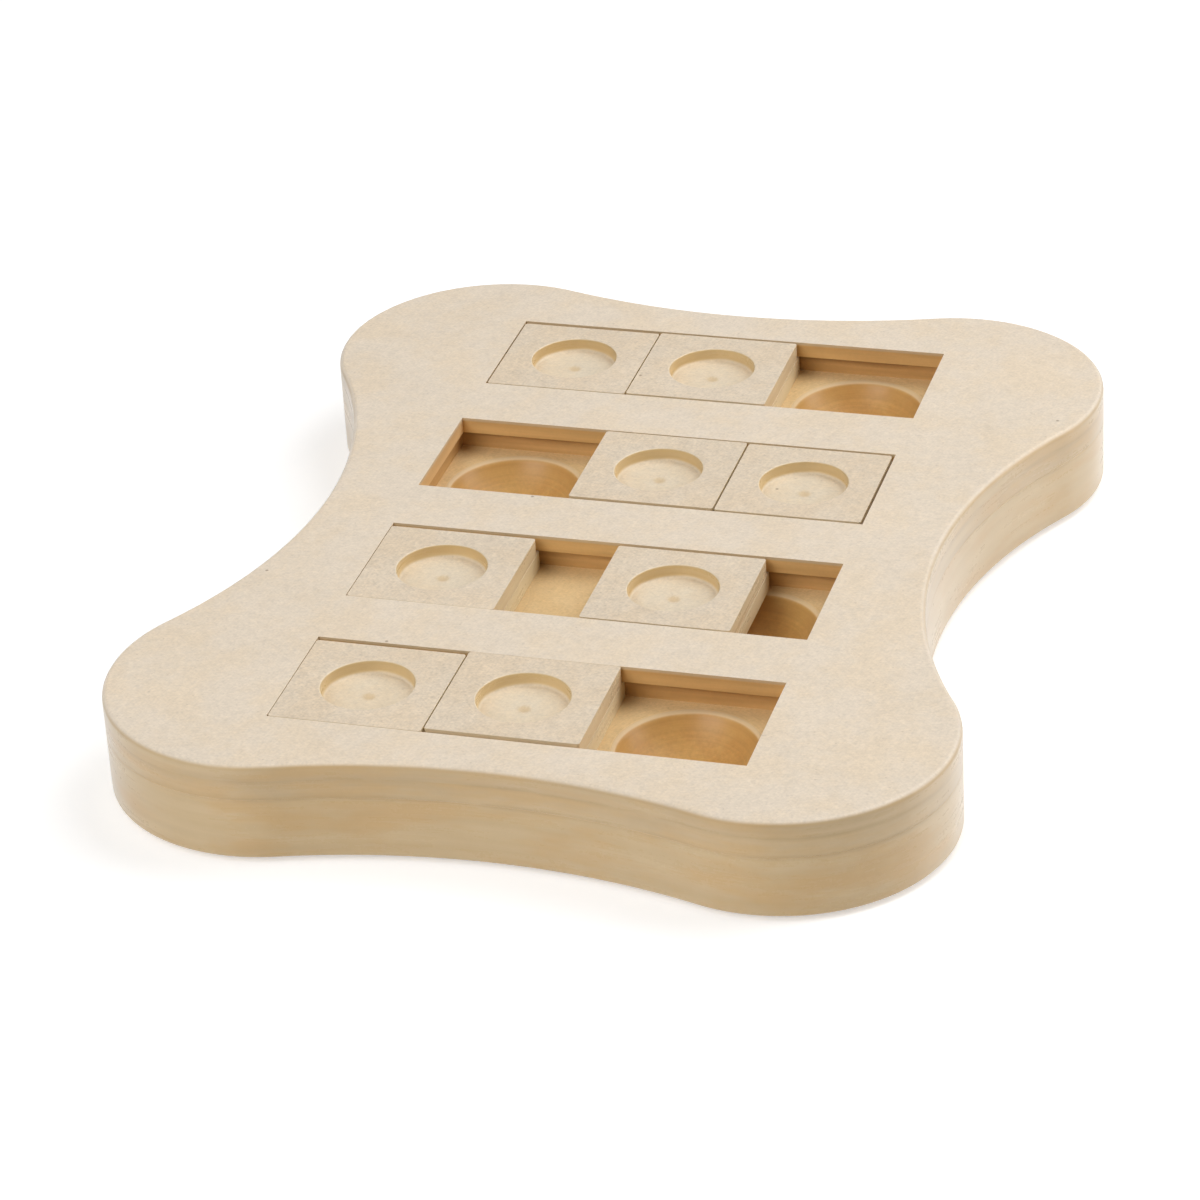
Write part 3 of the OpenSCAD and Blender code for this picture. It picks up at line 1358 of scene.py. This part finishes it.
@dataclass
class Studio:
    """A white satin floor, a white surround, soft lamps and the camera."""

    camera: Camera = Camera()
    lamps: tuple[Softbox, ...] = (
        Softbox("key", (0.71, 0.71, 1.49), width=1.3, watts=17.9),
        Softbox("right", (1.34, 0.44, 0.51), width=0.8, watts=8.3),
        Softbox("front_high", (-0.58, -0.82, 1.61), width=1.0, watts=7.5),
        Softbox("front_low", (-0.62, -1.33, 0.85), width=1.0, watts=10.6),
    )
    surround: float = 0.07
    floor_width: float = 12.0
    floor_drop: float = 0.05 * MM
    floor_grey: float = 0.80
    floor_glow: float = 0.46
    floor_gloss: float = 0.30
    floor_rough: float = 0.25

    def build(self) -> None:
        """Builds the whole studio."""
        self.build_floor()
        self.build_surround()
        for lamp in self.lamps:
            lamp.build()
        self.camera.build()
        bpy.context.scene.view_settings.view_transform = "Standard"

    @staticmethod
    def seen(w: Wiring) -> Socket:
        """Masks the rays that show a surface: straight, reflected or through glass.

        Args:
            w: the tree that the mask is for.

        Returns:
            The mask.
        """
        path = w.node("LightPath").outputs
        straight = w.calc("MAXIMUM", path["Is Camera Ray"], path["Is Glossy Ray"])
        return w.calc("MAXIMUM", straight, path["Is Transmission Ray"])

    def build_floor(self) -> None:
        """Lays the floor: white to the camera, with the soft shadow, and satin to other rays."""
        bpy.ops.object.select_all(action="DESELECT")
        bpy.ops.mesh.primitive_plane_add(size=self.floor_width, location=(0.0, 0.0, -self.floor_drop))
        floor = bpy.context.object
        floor.name = "floor"
        made = bpy.data.materials.new("floor_white")
        made.use_nodes = True
        w = Wiring(made.node_tree)
        w.tree.nodes.remove(w.tree.nodes["Principled BSDF"])
        white = rgba((1.0, 1.0, 1.0))
        paper = w.node("BsdfDiffuse", {"Color": rgba((self.floor_grey,) * 3)}).outputs[0]
        satin = w.node("BsdfAnisotropic", {"Color": white, "Roughness": self.floor_rough}).outputs[0]
        unseen = w.calc("SUBTRACT", 1.0, w.node("LightPath").outputs["Is Camera Ray"])
        gloss = w.calc("MULTIPLY", unseen, self.floor_gloss)
        paper = w.node("MixShader", {0: gloss, 1: paper, 2: satin}).outputs[0]
        strength = w.calc("MULTIPLY", self.seen(w), self.floor_glow)
        glow = w.node("Emission", {"Strength": strength}).outputs[0]
        lit = w.node("AddShader", {0: paper, 1: glow}).outputs[0]
        clear = w.node("BsdfTransparent").outputs[0]
        under = w.node("NewGeometry").outputs["Backfacing"]
        both = w.node("MixShader", {0: under, 1: lit, 2: clear}).outputs[0]
        w.tree.links.new(both, w.tree.nodes["Material Output"].inputs["Surface"])
        floor.data.materials.append(made)

    def build_surround(self) -> None:
        """Makes the surround white where it is seen, and dimmer as a light."""
        world = bpy.data.worlds.new("surround")
        bpy.context.scene.world = world
        world.use_nodes = True
        w = Wiring(world.node_tree)
        background = w.tree.nodes["Background"].inputs
        background["Color"].default_value = rgba((1.0, 1.0, 1.0))
        strength = w.calc("MULTIPLY_ADD", self.seen(w), 1.0 - self.surround, self.surround)
        w.tree.links.new(strength, background["Strength"])


def main() -> None:
    """Builds the board, the tiles and the studio in order, and reports each piece."""
    logging.basicConfig(level=logging.INFO, format="%(name)s: %(message)s")
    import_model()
    board = Board()
    tiles = [Tile(row, side) for row in range(1, board.slots.rows + 1) for side in Side]
    for piece in [*board.build(), *TileSet(tiles).build()]:
        LOG.info("%s: %d faces", piece.name, len(piece.data.polygons))
    Studio().build()


if __name__ == "__main__":
    main()
